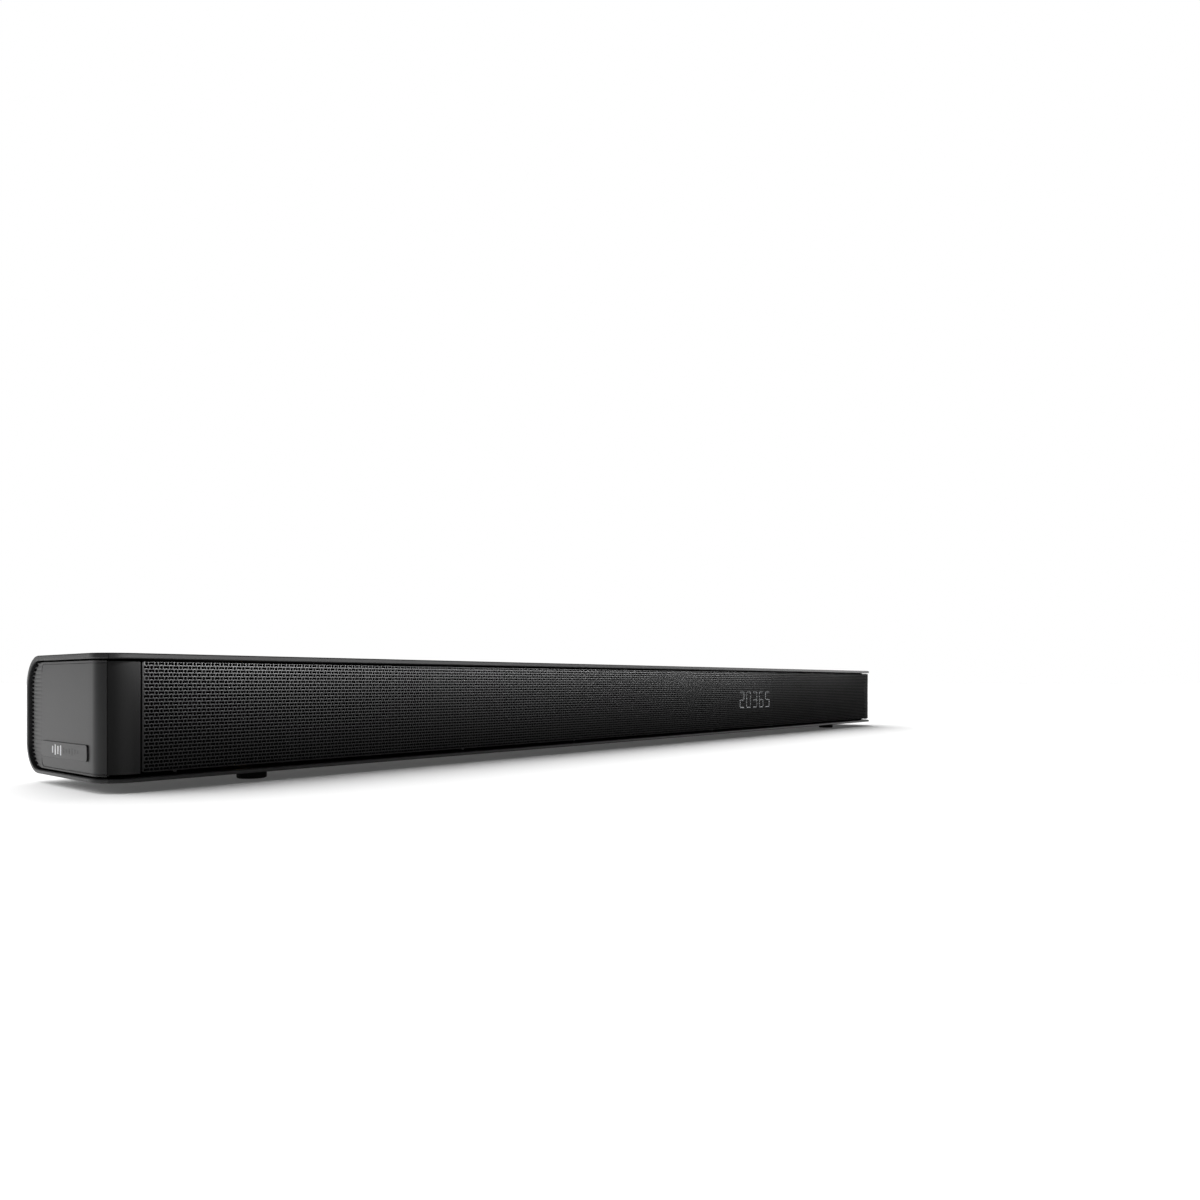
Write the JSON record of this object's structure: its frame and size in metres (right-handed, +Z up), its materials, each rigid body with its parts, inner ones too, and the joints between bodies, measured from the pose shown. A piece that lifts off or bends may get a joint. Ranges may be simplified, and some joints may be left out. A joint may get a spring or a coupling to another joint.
{
  "type": "soundbar",
  "caption": "Long low soundbar with rounded rear edges, perforated front grille, hidden display, top buttons, rear sockets and rubber feet.",
  "frame": {"origin": "centre of the footprint, on the surface that the feet stand on", "axes": "+X along the bar to the listener's right, -Y towards the listener (the grille), +Z up"},
  "size_m": [0.9, 0.102, 0.068],
  "materials": {
    "shell_plastic": "fine-textured matte charcoal black",
    "cap_plastic": "smooth satin charcoal",
    "badge_plastic": "satin grey-black with light printed bars",
    "grille_steel": "perforated sheet, matte black powder coat",
    "speaker_cloth": "black open-weave acoustic cloth",
    "inner_plastic": "unpainted black moulding",
    "panel_plastic": "fine-textured matte black",
    "socket_plastic": "satin black",
    "socket_metal": "nickel-plated sheet",
    "circuit_board": "green solder mask",
    "heat_sink_aluminium": "extruded, clear anodised",
    "cable_rubber": "black insulation",
    "foot_rubber": "soft black rubber",
    "screw_steel": "black zinc plate",
    "insert_brass": "turned",
    "display_window": "smoked gloss",
    "button_rubber": "soft-touch black",
    "transformer_iron": "varnished laminations",
    "capacitor_sleeve": "printed sleeve",
    "magnet_iron": "bare ferrite and plated steel",
    "cone_pulp": "coated paper pulp",
    "surround_rubber": "moulded butyl"
  },
  "bodies": {
    "housing": {"top_cover": "shell_plastic", "bottom_housing": "shell_plastic", "left_end_cap": "cap_plastic", "right_end_cap": "cap_plastic", "badge_plate": "badge_plastic", "front_frame": "cap_plastic", "front_grille": "grille_steel", "acoustic_cloth": "speaker_cloth", "baffle": "inner_plastic", "rear_panel": "panel_plastic", "power_inlet": "socket_plastic", "main_board": "circuit_board", "heat_sink": "heat_sink_aluminium", "wireless_module": "circuit_board", "speaker_cables": "cable_rubber", "rubber_feet": "foot_rubber", "case_screws": "screw_steel", "wall_inserts": "insert_brass", "left_height_grille": "grille_steel", "right_height_grille": "grille_steel", "display_lens": "display_window", "display_module": "inner_plastic", "display_board": "circuit_board", "remote_receiver": "display_window", "control_bezel": "cap_plastic", "button_board": "circuit_board", "hdmi_output_socket": "socket_metal", "hdmi_input_socket": "socket_metal", "usb_socket": "socket_metal", "aux_jack": "socket_plastic", "optical_socket": "socket_plastic", "power_board": "circuit_board", "mains_transformer": "transformer_iron", "supply_capacitors": "capacitor_sleeve", "left_driver_basket": "inner_plastic", "left_driver_motor": "magnet_iron", "centre_driver_basket": "inner_plastic", "centre_driver_motor": "magnet_iron", "right_driver_basket": "inner_plastic", "right_driver_motor": "magnet_iron", "left_height_driver_basket": "inner_plastic", "left_height_driver_motor": "magnet_iron", "right_height_driver_basket": "inner_plastic", "right_height_driver_motor": "magnet_iron"},
    "power_button": {"power_button": "button_rubber"},
    "source_button": {"source_button": "button_rubber"},
    "volume_down_button": {"volume_down_button": "button_rubber"},
    "volume_up_button": {"volume_up_button": "button_rubber"},
    "left_driver_cone": {"left_driver_cone": "cone_pulp", "left_driver_surround": "surround_rubber"},
    "centre_driver_cone": {"centre_driver_cone": "cone_pulp", "centre_driver_surround": "surround_rubber"},
    "right_driver_cone": {"right_driver_cone": "cone_pulp", "right_driver_surround": "surround_rubber"},
    "left_height_driver_cone": {"left_height_driver_cone": "cone_pulp", "left_height_driver_surround": "surround_rubber"},
    "right_height_driver_cone": {"right_height_driver_cone": "cone_pulp", "right_height_driver_surround": "surround_rubber"}
  },
  "joints": [
    {"name": "power_press", "type": "slide", "parent": "housing", "child": "power_button", "axis": [0, 0, 1], "range_m": [-0.0005, 0], "stiffness_N_per_m": 600},
    {"name": "source_press", "type": "slide", "parent": "housing", "child": "source_button", "axis": [0, 0, 1], "range_m": [-0.0005, 0], "stiffness_N_per_m": 600},
    {"name": "volume_down_press", "type": "slide", "parent": "housing", "child": "volume_down_button", "axis": [0, 0, 1], "range_m": [-0.0005, 0], "stiffness_N_per_m": 600},
    {"name": "volume_up_press", "type": "slide", "parent": "housing", "child": "volume_up_button", "axis": [0, 0, 1], "range_m": [-0.0005, 0], "stiffness_N_per_m": 600},
    {"name": "left_driver_travel", "type": "slide", "parent": "housing", "child": "left_driver_cone", "axis": [0, -1, 0], "range_m": [-0.0015, 0.0015], "stiffness_N_per_m": 800},
    {"name": "centre_driver_travel", "type": "slide", "parent": "housing", "child": "centre_driver_cone", "axis": [0, -1, 0], "range_m": [-0.0015, 0.0015], "stiffness_N_per_m": 800},
    {"name": "right_driver_travel", "type": "slide", "parent": "housing", "child": "right_driver_cone", "axis": [0, -1, 0], "range_m": [-0.0015, 0.0015], "stiffness_N_per_m": 800},
    {"name": "left_height_driver_travel", "type": "slide", "parent": "housing", "child": "left_height_driver_cone", "axis": [0, 0, 1], "range_m": [-0.0015, 0.0015], "stiffness_N_per_m": 800},
    {"name": "right_height_driver_travel", "type": "slide", "parent": "housing", "child": "right_height_driver_cone", "axis": [0, 0, 1], "range_m": [-0.0015, 0.0015], "stiffness_N_per_m": 800}
  ]
}
